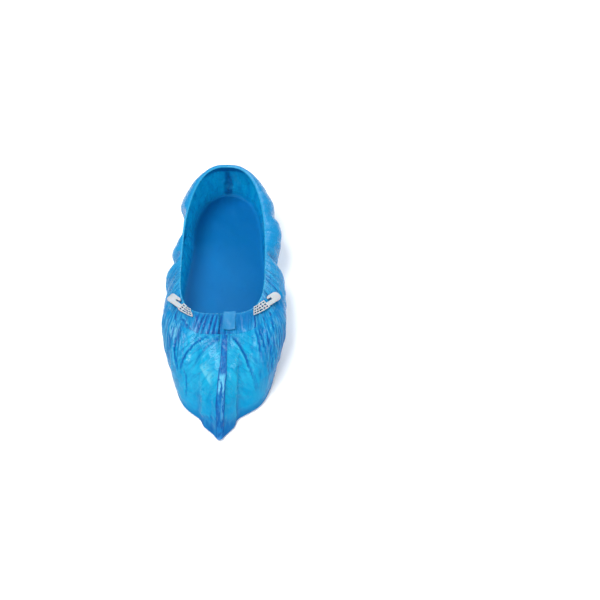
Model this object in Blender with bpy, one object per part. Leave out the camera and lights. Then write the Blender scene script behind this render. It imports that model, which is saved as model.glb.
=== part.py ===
"""Disposable shoe cover of thin blue film, standing on the floor in the shape that it has on a shoe.

It is one film, folded under the foot and welded up the toe and up the heel, with its top edge folded
over a thin elastic into a gathered hem. A welded strip lies along each seam, a tab covers the hem's
joint over the toe, and two white hooks with gridded pads are pressed onto the hem's front corners.

Metres, +Z up. The toe points to -Y and the heel to +Y, and +X is the side on the right as seen from
the toe. The origin is on the floor under the middle of the cover's box.
"""

import math
from collections import namedtuple

import bmesh
import bpy
import numpy as np
from mathutils import Vector

# Overall sizes
LENGTH = 0.334
SOLE_WIDTH = 0.108
FILM = 0.001
CLEARANCE = 0.0003
RIM_HEIGHT = 0.002
RIM_TUCK = 0.0015

# The opening: an oval with a squarer front, drawn round a point over the instep
OPENING_WIDTH = 0.090
OPENING_CENTRE_Y = 0.020
OPENING_FRONT = 0.074
OPENING_REAR = 0.134
FRONT_SQUARENESS = 3.4
REAR_SQUARENESS = 2.55
HEM_FRONT_HEIGHT = 0.063
HEM_SIDE_HEIGHT = 0.055
HEM_HEEL_HEIGHT = 0.062

# How far the slack film stands out beyond its straight line at puff 1, and where down its side
PUFF = 0.0185
PUFF_LOWNESS = 1.15
SLACK_LOWNESS = 0.85

# The ribs that shape the film, from toe to heel. Each runs from the hem's top edge, at hem_angle
# degrees round the opening, to a point of the sole's outline: left_x and right_x are shares of half
# the sole's width and sole_y a share of the length. puff is a share of PUFF. fullness, edge and drop
# shape the fall from hem to floor: how long it stays high, how sharply it meets the floor, how much
# it slopes.
Rib = namedtuple("Rib", "hem_angle left_x right_x sole_y puff fullness edge drop")
RIBS = [
    Rib(0, 0.00, 0.00, 0.000, 0.00, 4.5, 1.60, 0.25),
    Rib(9, 0.14, 0.16, 0.022, 0.03, 4.2, 1.55, 0.25),
    Rib(20, 0.35, 0.32, 0.074, 0.10, 3.6, 1.30, 0.21),
    Rib(33, 0.74, 0.79, 0.132, 0.38, 2.9, 0.98, 0.14),
    Rib(50, 0.92, 1.01, 0.240, 0.74, 2.3, 0.82, 0.07),
    Rib(78, 0.90, 1.02, 0.400, 0.86, 1.9, 0.80, 0.02),
    Rib(110, 0.82, 0.88, 0.580, 0.78, 1.7, 0.80, 0.00),
    Rib(138, 0.72, 0.76, 0.720, 0.72, 1.7, 0.80, 0.00),
    Rib(155, 0.70, 0.70, 0.850, 0.68, 1.7, 0.80, 0.00),
    Rib(166, 0.52, 0.52, 0.945, 0.52, 1.8, 0.85, 0.00),
    Rib(174, 0.24, 0.24, 0.990, 0.34, 1.9, 0.95, 0.00),
    Rib(180, 0.00, 0.00, 1.000, 0.25, 2.0, 1.00, 0.00),
]
ODD_COLUMNS = ("hem_angle", "left_x", "right_x")

# What each side adds to the puff, so that it bulges where the film is slack and is drawn in between.
# at is a share of the length from the toe, left and right are shares of PUFF.
Slack = namedtuple("Slack", "at left right")
SLACK = [
    Slack(0.000, 0.00, 0.00),
    Slack(0.090, -0.10, -0.10),
    Slack(0.160, 0.04, 0.20),
    Slack(0.240, 0.02, 0.16),
    Slack(0.330, -0.18, 0.00),
    Slack(0.420, -0.32, -0.12),
    Slack(0.490, -0.04, 0.04),
    Slack(0.530, -0.24, -0.14),
    Slack(0.576, -0.74, -0.64),
    Slack(0.624, -0.12, -0.12),
    Slack(0.664, -0.26, 0.16),
    Slack(0.710, -0.70, 0.30),
    Slack(0.756, -0.52, 0.26),
    Slack(0.800, -0.54, -0.02),
    Slack(0.850, -0.08, 0.06),
    Slack(0.914, -0.10, -0.06),
    Slack(0.967, -0.16, -0.10),
    Slack(1.000, -0.08, -0.08),
]

# The main folds over the toe, seen in plan. Each runs from one point to another, as shares of half
# the sole's width and of the length from the toe, bowing sideways by bow. depth above 0 is a ridge.
Fold = namedtuple("Fold", "x0 y0 x1 y1 bow reach depth")
FOLDS = [
    Fold(-0.10, 0.270, -0.74, 0.190, 0.020, 0.0050, 0.0016),
    Fold(-0.06, 0.248, -0.62, 0.170, 0.018, 0.0045, -0.0013),
    Fold(0.10, 0.262, 0.56, 0.110, -0.008, 0.0045, 0.0015),
    Fold(0.22, 0.262, 0.70, 0.130, -0.008, 0.0045, -0.0012),
    Fold(-0.86, 0.330, -0.86, 0.150, 0.006, 0.0050, 0.0014),
    Fold(0.62, 0.330, 0.84, 0.190, 0.006, 0.0050, 0.0014),
    Fold(0.92, 0.330, 0.90, 0.150, -0.004, 0.0045, -0.0012),
    Fold(-0.30, 0.110, -0.12, 0.030, 0.004, 0.0050, 0.0012),
]

# The gathers that the elastic makes
FRONT_GATHER_PITCH = 0.0105
SIDE_GATHER_PITCH = 0.021
FRONT_GATHER_REACH = 0.075
SIDE_GATHER_SHARE = 0.55
GATHER_DEPTH = 0.0019
GATHER_LENGTH = 0.052
HEM_GATHER_SHARE = 0.62
FLAT_BESIDE_TAB = 0.011
FLAT_BESIDE_SEAM = 0.008

# The hem: the film's edge folded out and down over the elastic
HEM_DEPTH = 0.022
HEM_LIP = 0.009
FILM_TOP = 0.003
ELASTIC_RADIUS = 0.0005
ELASTIC_AT = 0.0005
ELASTIC_SIDES = 6

# The corner beyond the toe, where two layers of film lie together
CORNER_LENGTH = 0.024
CORNER_SQUEEZE = 0.06

# The welded strips, which start just below the hem and end just above the floor
SEAM_WIDTH = 0.009
SEAM_TIP_WIDTH = 0.006
SEAM_THICKNESS = 0.001
SEAM_START_SHARE = 0.10
SEAM_END_RISE = 0.0006
SEAM_LIFT = 0.0002
TOE_SEAM_SHIFT = 0.0055

# The tab
TAB_WIDTH = 0.013
TAB_SHIFT = 0.0095
TAB_THICKNESS = 0.001
TAB_OVERHANG = 0.001
TAB_LIFT = 0.0002

# The hooks: a gridded pad that follows the hem, then a neck and a rounded head with a barb
PAD_LENGTH = 0.020
PAD_WIDTH = 0.0105
PAD_COLUMNS = 5
PAD_ROWS = 3
PAD_BAR = 0.0011
HOOK_THICKNESS = 0.0014
NECK_LENGTH = 0.008
NECK_WIDTH = 0.0052
HEAD_LENGTH = 0.011
HEAD_WIDTH = 0.0105
HEAD_RADIUS = 0.0040
TIP_LENGTH = 0.0035
TIP_WIDTH = 0.0030
RIGHT_HOOK_START = 0.034
LEFT_HOOK_START = 0.031
HOOK_LEAVES = 0.010
HOOK_BELOW_EDGE = 0.0062
HOOK_SLANT = 0.16
HOOK_LIFT = 0.0003

# How finely the film is divided
COLUMNS_PER_SIDE = 66
SIDE_ROWS = 7
INSIDE_ROWS = (2, 4, 6)
RIB_STEPS = 90
HEM_SMOOTHING = (6, 4, 2)


def rib_at(share):
    """The rib's values at a share of the way from toe to heel, on a smooth curve through the rows."""
    rows = np.array(RIBS, float)
    odd = np.array([name in ODD_COLUMNS for name in Rib._fields])
    before = np.where(odd, 2 * rows[0] - rows[1], rows[1])
    after = np.where(odd, 2 * rows[-1] - rows[-2], rows[-2])
    rows = np.vstack([before, rows, after])
    place = share * (len(RIBS) - 1)
    first = min(int(place), len(RIBS) - 2)
    t = place - first
    a, b, c, d = rows[first : first + 4]
    curve = b + 0.5 * t * (c - a + t * (2 * a - 5 * b + 4 * c - d + t * (3 * (b - c) + d - a)))
    return Rib(*curve)


def hem_point(angle):
    """A point of the hem's top edge on the +X side, at this many degrees round from the toe."""
    turn = math.radians(angle)
    across, along = math.sin(turn), math.cos(turn)
    front = along > 0
    reach = OPENING_FRONT if front else OPENING_REAR
    power = FRONT_SQUARENESS if front else REAR_SQUARENESS
    radius = (abs(along / reach) ** power + abs(across / (OPENING_WIDTH / 2)) ** power) ** (-1 / power)
    end_height = HEM_FRONT_HEIGHT if front else HEM_HEEL_HEIGHT
    share_of_end = (radius * abs(along) / reach) ** 2
    height = HEM_SIDE_HEIGHT + (end_height - HEM_SIDE_HEIGHT) * share_of_end
    return np.array([radius * across, OPENING_CENTRE_Y - radius * along, height])


def sole_point(side, share):
    """A point of the sole's outline, measured outward on one side."""
    rib = rib_at(share)
    across = rib.right_x if side > 0 else rib.left_x
    return np.array([across * SOLE_WIDTH / 2, (rib.sole_y - 0.5) * LENGTH])


def outward(side, share):
    """The sole's outline faces this way in plan, measured outward on one side."""
    step = 0.004
    ahead = sole_point(side, min(share + step, 1.0))
    behind = sole_point(side, max(share - step, 0.0))
    if share <= step:
        return np.array([0.0, -1.0])
    if share >= 1 - step:
        return np.array([0.0, 1.0])
    run = ahead - behind
    return np.array([run[1], -run[0]]) / np.linalg.norm(run)


def slack_at(side, at):
    """What the table of slack adds to the puff at a share of the length, on one side."""
    after = next(k for k, row in enumerate(SLACK) if row.at >= min(max(at, 0.001), 1))
    low, high = SLACK[after - 1], SLACK[after]
    share = min(max((at - low.at) / (high.at - low.at), 0), 1)
    share = share * share * (3 - 2 * share)
    first, second = (low.right, high.right) if side > 0 else (low.left, high.left)
    return first + (second - first) * share


def rib_line(side, share):
    """A fine line down the film from the hem's top edge to the rim by the floor."""
    rib = rib_at(share)
    hem = hem_point(rib.hem_angle)
    sole = sole_point(side, share)
    out = outward(side, share)
    t = np.linspace(0, 1, RIB_STEPS)
    stand_out = rib.puff * PUFF * np.sin(math.pi * t**PUFF_LOWNESS)
    stand_out += slack_at(side, rib.sole_y) * PUFF * np.sin(math.pi * t**SLACK_LOWNESS) ** 2
    fall = (1 - t**rib.fullness) ** rib.edge * (1 - rib.drop * t)
    line = np.empty((RIB_STEPS, 3))
    line[:, 0] = side * (hem[0] + (sole[0] - hem[0]) * t + out[0] * stand_out)
    line[:, 1] = hem[1] + (sole[1] - hem[1]) * t + out[1] * stand_out
    line[:, 2] = RIM_HEIGHT + (hem[2] - RIM_HEIGHT) * fall
    return line


def lengths_along(line):
    steps = np.linalg.norm(np.diff(line, axis=0), axis=1)
    return np.concatenate([[0], np.cumsum(steps)])


def point_at(line, distance):
    """The point this far along a line."""
    lengths = lengths_along(line)
    return np.array([np.interp(distance, lengths, line[:, k]) for k in range(3)])


def even_shares():
    """Shares from toe to heel whose ribs stand about evenly apart at the hem and at the floor."""
    fine = np.linspace(0, 1, 600)
    hem = np.array([hem_point(rib_at(share).hem_angle) for share in fine])
    sole = np.array([sole_point(1, share) for share in fine])
    gone = (lengths_along(hem) + lengths_along(sole)) / 2
    wanted = np.linspace(0, gone[-1], COLUMNS_PER_SIDE + 1)
    return np.interp(wanted, gone, fine)


def lean_of(points):
    """Outward unit normals of a closed grid of points[column, row]."""
    around = np.roll(points, -1, axis=0) - np.roll(points, 1, axis=0)
    down = np.gradient(points, axis=1)
    normals = np.cross(down, around)
    normals /= np.linalg.norm(normals, axis=2, keepdims=True)
    for row, passes in enumerate(HEM_SMOOTHING):
        for _ in range(passes):
            ring = normals[:, row]
            ring = ring / 2 + (np.roll(ring, 1, axis=0) + np.roll(ring, -1, axis=0)) / 4
            normals[:, row] = ring / np.linalg.norm(ring, axis=1, keepdims=True)
    return normals


def fold_height(point):
    """How far the main folds lift the film at a point of the toe."""
    total = 0.0
    for fold in FOLDS:
        start = np.array([fold.x0 * SOLE_WIDTH / 2, (fold.y0 - 0.5) * LENGTH])
        end = np.array([fold.x1 * SOLE_WIDTH / 2, (fold.y1 - 0.5) * LENGTH])
        run = end - start
        length = np.linalg.norm(run)
        along, across = run / length, np.array([-run[1], run[0]]) / length
        offset = point[:2] - start
        share = offset @ along / length
        if -0.1 < share < 1.1:
            bow = fold.bow * LENGTH * 4 * share * (1 - share)
            fade = math.sin(math.pi * min(max((share + 0.1) / 1.2, 0), 1))
            total += fold.depth * fade * math.exp(-(((offset @ across - bow) / fold.reach) ** 2))
    return total


def near(distance, reach):
    """1 at a distance of 0, falling smoothly to 0 at the reach."""
    share = min(abs(distance) / reach, 1.0)
    return 1 - share * share * (3 - 2 * share)


class Film:
    """The film's outer face as a closed grid of columns round the foot and rows down from the hem."""

    def __init__(self):
        shares = even_shares()
        right = [(1, share) for share in shares]
        left = [(-1, share) for share in shares[-2:0:-1]]
        lines = [rib_line(side, share) for side, share in right + left]
        self.count = len(lines)
        self.heel = COLUMNS_PER_SIDE
        hem_rows = (FILM_TOP, HEM_LIP, HEM_DEPTH)
        side_shares = np.linspace(0, 1, SIDE_ROWS + 1)[1:]
        rows = []
        for line in lines:
            total = lengths_along(line)[-1]
            places = list(hem_rows) + [HEM_DEPTH + (total - HEM_DEPTH) * share for share in side_shares]
            rows.append([point_at(line, place) for place in places])
        self.base = np.array(rows)
        self.edge = np.array([line[0] for line in lines])
        self.normal = lean_of(self.base)
        self.rows = self.base.shape[1]
        steps = np.linalg.norm(self.edge - np.roll(self.edge, 1, axis=0), axis=1)
        self.hem_place = np.cumsum(steps) - steps[0]
        self.hem_length = self.hem_place[-1] + steps[0]
        self.lift = self.folds()
        self.skin = self.base + self.normal * self.lift[..., None]

    def from_toe(self, column):
        """How far round the hem a column stands from the toe's middle, + towards the right side."""
        place = self.hem_place[column]
        return place if place <= self.hem_length / 2 else place - self.hem_length

    def flatness(self, column):
        """1 where the hem lies flat, beside a seam, the tab or a hook's pad, and 0 where it gathers."""
        toe = self.from_toe(column)
        heel = self.hem_length / 2 - abs(toe)
        right_pad = RIGHT_HOOK_START + PAD_LENGTH / 2
        left_pad = LEFT_HOOK_START + PAD_LENGTH / 2
        return max(
            near(toe - TAB_SHIFT, TAB_WIDTH / 2 + FLAT_BESIDE_TAB),
            near(heel, SEAM_WIDTH / 2 + FLAT_BESIDE_SEAM),
            near(toe - right_pad, PAD_LENGTH),
            near(toe + left_pad, PAD_LENGTH),
        )

    def folds(self):
        """How far gathers and main folds lift each point of the grid."""
        lift = np.zeros((self.count, self.rows))
        for column in range(self.count):
            toe = abs(self.from_toe(column))
            front = near(toe, FRONT_GATHER_REACH)
            turn = 2 * math.pi * self.hem_place[column] / self.hem_length
            pitch = SIDE_GATHER_PITCH + (FRONT_GATHER_PITCH - SIDE_GATHER_PITCH) * front
            wave = math.cos(2 * math.pi * toe / pitch + 0.9 * math.sin(3 * turn) + 0.6 * math.sin(7 * turn))
            strength = SIDE_GATHER_SHARE + (1 - SIDE_GATHER_SHARE) * front
            strength *= 0.78 + 0.22 * math.sin(5 * turn + 1.0)
            swell = GATHER_DEPTH * strength * wave * (1 - self.flatness(column))
            lengths = lengths_along(np.vstack([self.edge[column], self.base[column]]))[1:]
            for row in range(self.rows):
                down = lengths[row]
                if down <= HEM_DEPTH + CLEARANCE:
                    fade = HEM_GATHER_SHARE + (1 - HEM_GATHER_SHARE) * down / HEM_DEPTH
                    lift[column, row] = swell * fade
                else:
                    fade = near(down - HEM_DEPTH, GATHER_LENGTH)
                    clear_of_seam = 1 - near(abs(self.base[column, row, 0]), SEAM_WIDTH)
                    lift[column, row] = swell * fade + clear_of_seam * fold_height(self.base[column, row])
        lift[:, -1] = 0
        return lift

    def layer(self, row, offset):
        """A ring of points at one row, this far outside the film's outer face."""
        return self.skin[:, row] + self.normal[:, row] * offset

    def hem_section(self, below_edge, offset):
        """A ring of points in the hem's fold, this far below its top edge and outside the film."""
        top, out = self.base[:, 0], self.normal[:, 0]
        up = self.edge - top
        up -= out * np.sum(up * out, axis=1, keepdims=True)
        up /= np.linalg.norm(up, axis=1, keepdims=True)
        return top + up * (FILM_TOP - below_edge) + out * (self.lift[:, :1] + offset)

    def beside(self, ring, centre, distance):
        """The point of a closed ring that lies this far along it from a column, + towards the next."""
        step = 1 if distance >= 0 else -1
        left = abs(distance)
        here = centre
        while True:
            there = (here + step) % self.count
            gap = np.linalg.norm(ring[there] - ring[here])
            if gap >= left:
                return ring[here] + (ring[there] - ring[here]) * (left / gap)
            left -= gap
            here = there


def new_object(name, mesh_parts, material, smooth_angle=40):
    """An object from (points, faces), with its own material, shaded smooth away from sharp edges."""
    points, faces = mesh_parts
    mesh = bpy.data.meshes.new(name)
    mesh.from_pydata([tuple(p) for p in points], [], [tuple(f) for f in faces])
    shape = bmesh.new()
    shape.from_mesh(mesh)
    bmesh.ops.recalc_face_normals(shape, faces=shape.faces)
    shape.to_mesh(mesh)
    shape.free()
    mesh.materials.append(material)
    mesh.shade_smooth()
    mesh.set_sharp_from_angle(angle=math.radians(smooth_angle))
    made = bpy.data.objects.new(name, mesh)
    bpy.context.scene.collection.objects.link(made)
    return made


def new_material(name, colour, roughness):
    """A plain plastic finish."""
    material = bpy.data.materials.new(name)
    material.use_nodes = True
    shader = material.node_tree.nodes["Principled BSDF"]
    shader.inputs["Base Color"].default_value = (*colour, 1)
    shader.inputs["Roughness"].default_value = roughness
    shader.inputs["Metallic"].default_value = 0
    return material


def skin_between(rings, closed):
    """Triangles that join each ring to the next, and the last to the first if closed."""
    count = len(rings[0])
    faces = []
    pairs = list(zip(range(len(rings)), range(1, len(rings))))
    if closed:
        pairs.append((len(rings) - 1, 0))
    for first, second in pairs:
        for here in range(count):
            there = (here + 1) % count
            a, b = first * count + here, first * count + there
            c, d = second * count + there, second * count + here
            faces.append((a, b, c))
            faces.append((a, c, d))
    return np.vstack(rings), faces


def strip(lower, upper):
    """A closed strip from two grids of points[row, column], its under and its upper face."""
    rows, columns = lower.shape[:2]
    points = np.vstack([lower.reshape(-1, 3), upper.reshape(-1, 3)])
    faces = []

    def index(layer, row, column):
        return layer * rows * columns + row * columns + column

    for layer in (0, 1):
        for row in range(rows - 1):
            for column in range(columns - 1):
                a, b = index(layer, row, column), index(layer, row, column + 1)
                c, d = index(layer, row + 1, column + 1), index(layer, row + 1, column)
                faces.append((a, b, c, d))
    border = [(0, c) for c in range(columns)] + [(r, columns - 1) for r in range(1, rows)]
    border += [(rows - 1, c) for c in range(columns - 2, -1, -1)] + [(r, 0) for r in range(rows - 2, 0, -1)]
    for here, there in zip(border, border[1:] + border[:1]):
        faces.append((index(0, *here), index(0, *there), index(1, *there), index(1, *here)))
    return points, faces


def film_body(film, material):
    """The bag itself: sole and upper in one film, solid in the flattened corner beyond the toe."""
    outside = [film.layer(row, 0) for row in range(film.rows)]
    rim = outside[-1].copy()
    inward = -film.normal[:, -1, :2]
    inward /= np.linalg.norm(inward, axis=1, keepdims=True)
    rim[:, :2] += inward * RIM_TUCK
    rim[:, 2] = 0
    inside_rows = [0, 1, 2] + [2 + row for row in INSIDE_ROWS]
    inside = [film.layer(row, -FILM) for row in inside_rows]
    floor = rim.copy()
    floor[:, :2] += inward * FILM
    floor[:, 2] = FILM
    inside.append(floor)
    corner = -LENGTH / 2 + CORNER_LENGTH
    for ring in inside:
        ahead = ring[:, 1] < corner
        ring[ahead, 1] = corner + (ring[ahead, 1] - corner) * CORNER_SQUEEZE
        ring[:, 2] = np.maximum(ring[:, 2], FILM)
    points, faces = skin_between(inside[::-1] + outside + [rim], closed=False)
    count = film.count
    last = len(points) - count
    faces.append(tuple(range(count)))
    faces.append(tuple(range(last, last + count)))
    return new_object("film_body", (points, faces), material)


def elastic_hem(film, material):
    """The film's edge, folded out over the elastic and down again: an upturned U in section."""
    outer = CLEARANCE + FILM
    inner = -FILM - CLEARANCE
    middle = -FILM / 2
    roll = outer - middle
    hollow = CLEARANCE - middle
    rings = [film.layer(row, outer) for row in (2, 1, 0)]
    for angle in (45, 90, 135):
        turn = math.radians(angle)
        rings.append(film.hem_section(ELASTIC_AT - roll * math.sin(turn), middle + roll * math.cos(turn)))
    rings += [film.layer(row, inner - FILM) for row in (0, 1)]
    rings += [film.layer(row, inner) for row in (1, 0)]
    for angle in (125, 55):
        turn = math.radians(angle)
        reach = hollow / math.sin(turn)
        rings.append(film.hem_section(ELASTIC_AT - reach * math.sin(turn), middle + reach * math.cos(turn)))
    rings += [film.layer(row, CLEARANCE) for row in (0, 1, 2)]
    return new_object("elastic_hem", skin_between(rings, closed=True), material)


def elastic_cord(film, material):
    """The round elastic in the hem's fold, all the way round the opening."""
    rings = []
    for side in range(ELASTIC_SIDES):
        turn = 2 * math.pi * side / ELASTIC_SIDES
        below = ELASTIC_AT - ELASTIC_RADIUS * math.sin(turn)
        rings.append(film.hem_section(below, -FILM / 2 + ELASTIC_RADIUS * math.cos(turn)))
    return new_object("elastic_cord", skin_between(rings, closed=True), material)


def seam_strip(film, name, centre, shift, material):
    """A weld's strip, lying flat on the film from the hem's lower edge down to the floor's corner."""
    rows = range(3, film.rows)
    under, upper = [], []
    start = film.layer(2, 0)
    for row in [2, *rows]:
        ring = film.layer(row, 0)
        if row == 2:
            ring = start + (film.layer(3, 0) - start) * SEAM_START_SHARE
        lower = row / (film.rows - 1)
        width = SEAM_WIDTH + (SEAM_TIP_WIDTH - SEAM_WIDTH) * lower**3
        out = film.normal[centre, row]
        middle = shift * (1 - lower)
        shares = (-1, -0.5, 0, 0.5, 1)
        across = np.array([film.beside(ring, centre, middle + share * width / 2) for share in shares])
        if row == film.rows - 1:
            across += np.array([0, 0, SEAM_END_RISE])
        under.append(across + out * (CLEARANCE + SEAM_LIFT))
        upper.append(across + out * (CLEARANCE + SEAM_LIFT + SEAM_THICKNESS))
    return new_object(name, strip(np.array(under), np.array(upper)), material)


def front_tab(film, material):
    """The flat tab over the hem's joint above the toe."""
    outer = CLEARANCE + FILM
    levels = [film.hem_section(-TAB_OVERHANG, outer)] + [film.layer(row, outer) for row in (0, 1, 2)]
    under, upper = [], []
    for level, ring in enumerate(levels):
        out = film.normal[0, max(level - 1, 0)]
        shares = (-1, -0.4, 0.4, 1)
        across = np.array([film.beside(ring, 0, TAB_SHIFT + share * TAB_WIDTH / 2) for share in shares])
        under.append(across + out * (CLEARANCE + TAB_LIFT))
        upper.append(across + out * (CLEARANCE + TAB_LIFT + TAB_THICKNESS))
    return new_object("front_tab", strip(np.array(under), np.array(upper)), material)


def hook_outline():
    """The hook laid flat, as polygons of (along, across), with the hem's top edge towards +across."""
    hole_length = (PAD_LENGTH - (PAD_COLUMNS + 1) * PAD_BAR) / PAD_COLUMNS
    hole_width = (PAD_WIDTH - (PAD_ROWS + 1) * PAD_BAR) / PAD_ROWS
    along = [0.0]
    for _ in range(PAD_COLUMNS):
        along += [along[-1] + PAD_BAR, along[-1] + PAD_BAR + hole_length]
    along.append(PAD_LENGTH)
    across = [-PAD_WIDTH / 2]
    for _ in range(PAD_ROWS):
        across += [across[-1] + PAD_BAR, across[-1] + PAD_BAR + hole_width]
    across.append(PAD_WIDTH / 2)
    cells = []
    for i in range(len(along) - 1):
        for j in range(len(across) - 1):
            if i % 2 == 0 or j % 2 == 0:
                a, b, c, d = along[i], along[i + 1], across[j], across[j + 1]
                cells.append([(a, c), (b, c), (b, d), (a, d)])
    low = across[1]
    neck_end = PAD_LENGTH + NECK_LENGTH
    end = neck_end + HEAD_LENGTH
    top = low + HEAD_WIDTH
    joined = [level for level in across if low <= level <= low + NECK_WIDTH]
    head = [(PAD_LENGTH, level) for level in reversed(joined)]
    head += rounded(end - HEAD_RADIUS, low + HEAD_RADIUS, -90, 0)
    head += rounded(end - HEAD_RADIUS, top - HEAD_RADIUS, 0, 90)
    head += [(neck_end - TIP_LENGTH * 0.4, top), (neck_end - TIP_LENGTH, top - TIP_WIDTH * 0.5)]
    head += [(neck_end - TIP_LENGTH * 0.9, top - TIP_WIDTH), (neck_end + TIP_WIDTH * 0.3, top - TIP_WIDTH)]
    head += [(neck_end + TIP_WIDTH * 0.3, joined[-1])]
    return cells, head


def rounded(centre_along, centre_across, start, end, steps=4):
    """Points of a quarter round on the head's corner."""
    turns = np.radians(np.linspace(start, end, steps + 1))
    return [(centre_along + HEAD_RADIUS * math.cos(t), centre_across + HEAD_RADIUS * math.sin(t)) for t in turns]


class HookSeat:
    """Bends a hook that is laid flat: its pad follows the hem's front corner, then it runs straight."""

    def __init__(self, film, side):
        self.film, self.side = film, side
        self.start = RIGHT_HOOK_START if side > 0 else LEFT_HOOK_START
        self.outer = CLEARANCE + FILM + CLEARANCE + HOOK_LIFT
        before, self.leaves = self.on_hem(HOOK_LEAVES - 0.002, 0), self.on_hem(HOOK_LEAVES, 0)
        self.run = (self.leaves - before) / np.linalg.norm(self.leaves - before)
        up = self.on_hem(HOOK_LEAVES, PAD_WIDTH / 2) - self.leaves
        up -= self.run * (up @ self.run)
        self.up = up / np.linalg.norm(up)
        self.out = np.cross(self.up, self.run) * -side

    def on_hem(self, along, across, height=0.0):
        """A point outside the hem, this far along it from where the pad starts."""
        below = HOOK_BELOW_EDGE - across + along * HOOK_SLANT
        rows = [self.film.hem_section(0.0, 0.0)] + [self.film.layer(row, 0) for row in (0, 1, 2)]
        normals = [self.film.normal[:, 0]] + [self.film.normal[:, row] for row in (0, 1, 2)]
        levels = [0.0, FILM_TOP, HEM_LIP, HEM_DEPTH]
        share = np.interp(below, levels, range(4))
        low = min(int(share), 2)
        mix = share - low
        ring = rows[low] * (1 - mix) + rows[low + 1] * mix
        out = normals[low] * (1 - mix) + normals[low + 1] * mix
        distance = self.side * (self.start + along)
        point = self.film.beside(ring, 0, distance)
        nearest = np.argmin(np.linalg.norm(ring - point, axis=1))
        return point + out[nearest] / np.linalg.norm(out[nearest]) * (self.outer + height)

    def place(self, along, across, height):
        if along <= HOOK_LEAVES:
            return self.on_hem(along, across, height)
        return self.leaves + self.run * (along - HOOK_LEAVES) + self.up * across + self.out * height


def clip_hook(film, name, side, material):
    """A white moulded hook: its gridded pad is pressed onto the hem and its barbed head stands free."""
    seat = HookSeat(film, side)
    cells, head = hook_outline()
    known, points, faces = {}, [], []
    for polygon in [*cells, head]:
        face = []
        for along, across in polygon:
            key = (round(along, 6), round(across, 6))
            if key not in known:
                known[key] = len(known)
                points.append(key)
            face.append(known[key])
        faces.append(face)
    count = len(points)
    solid = [seat.place(*p, 0.0) for p in points] + [seat.place(*p, HOOK_THICKNESS) for p in points]
    uses = {}
    for face in faces:
        for a, b in zip(face, face[1:] + face[:1]):
            uses.setdefault(frozenset((a, b)), []).append((a, b))
    walls = [pair[0] for pair in uses.values() if len(pair) == 1]
    all_faces = faces + [[count + v for v in face][::-1] for face in faces]
    all_faces += [[a, b, count + b, count + a] for a, b in walls]
    return new_object(name, (solid, all_faces), material, smooth_angle=30)


def clear_scene():
    for old in list(bpy.data.objects):
        bpy.data.objects.remove(old)


def centre_on_floor(objects):
    """Hangs every piece on one empty, placed so that the origin is under the middle of the box."""
    corners = np.array([v.co[:] for piece in objects for v in piece.data.vertices])
    middle = (corners.min(axis=0) + corners.max(axis=0)) / 2
    stand = bpy.data.objects.new("shoe_cover", None)
    bpy.context.scene.collection.objects.link(stand)
    stand.location = Vector((-middle[0], -middle[1], 0))
    for piece in objects:
        piece.parent = stand


def main():
    clear_scene()
    film = Film()
    blue = new_material("blue_film", (0.03, 0.33, 0.68), 0.35)
    hem_blue = new_material("hem_film", (0.02, 0.25, 0.60), 0.38)
    seam_blue = new_material("welded_film", (0.02, 0.27, 0.62), 0.30)
    tab_blue = new_material("tab_film", (0.05, 0.32, 0.66), 0.42)
    pale = new_material("elastic", (0.55, 0.70, 0.80), 0.70)
    white = new_material("white_plastic", (0.86, 0.88, 0.90), 0.40)
    pieces = [
        film_body(film, blue),
        elastic_hem(film, hem_blue),
        elastic_cord(film, pale),
        seam_strip(film, "toe_seam", 0, TOE_SEAM_SHIFT, seam_blue),
        seam_strip(film, "heel_seam", film.heel, 0.0, seam_blue),
        front_tab(film, tab_blue),
        clip_hook(film, "clip_right", 1, white),
        clip_hook(film, "clip_left", -1, white),
    ]
    centre_on_floor(pieces)


main()
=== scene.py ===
"""The looks of a disposable shoe cover: thin blue film in its worn shape, gathered by an elastic hem.

Metres, +Z up, the toe towards -Y. Each section makes one piece and says what the real one is.
"""

import math
from collections import namedtuple

import bmesh
import bpy
import numpy as np
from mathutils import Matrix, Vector


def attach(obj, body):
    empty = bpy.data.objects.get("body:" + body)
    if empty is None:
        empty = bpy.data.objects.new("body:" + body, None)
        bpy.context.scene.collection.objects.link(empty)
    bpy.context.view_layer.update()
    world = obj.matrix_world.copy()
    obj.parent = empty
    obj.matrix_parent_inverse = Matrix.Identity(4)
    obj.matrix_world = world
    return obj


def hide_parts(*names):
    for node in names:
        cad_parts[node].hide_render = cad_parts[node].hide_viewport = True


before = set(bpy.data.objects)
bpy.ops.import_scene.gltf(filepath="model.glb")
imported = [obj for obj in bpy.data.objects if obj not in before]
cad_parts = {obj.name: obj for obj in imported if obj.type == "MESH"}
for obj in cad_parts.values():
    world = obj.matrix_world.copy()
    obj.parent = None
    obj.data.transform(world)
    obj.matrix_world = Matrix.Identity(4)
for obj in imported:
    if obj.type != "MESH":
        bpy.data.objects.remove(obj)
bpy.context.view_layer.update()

# The film. One sheet of thin polyethylene is folded under the foot, so sole and upper are one piece.
# It is drawn in by the elastic round the opening, hangs slack at the sides, and ends beyond the toe in
# an empty pointed corner. Its shape is the solid's, drawn much finer, then settled as slack cloth.

LENGTH = 0.334
SOLE_WIDTH = 0.108
STANDS_AT = np.array([-0.00269, -0.00036, 0.0])
RIM_HEIGHT = 0.002
OPENING_WIDTH = 0.090
OPENING_CENTRE_Y = 0.020
OPENING_FRONT = 0.074
OPENING_REAR = 0.134
FRONT_SQUARENESS = 3.4
REAR_SQUARENESS = 2.55
HEM_FRONT_HEIGHT = 0.063
HEM_SIDE_HEIGHT = 0.055
HEM_HEEL_HEIGHT = 0.062
HEM_DEPTH = 0.022
PUFF = 0.0185
PUFF_LOWNESS = 1.15
SLACK_LOWNESS = 0.85

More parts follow.
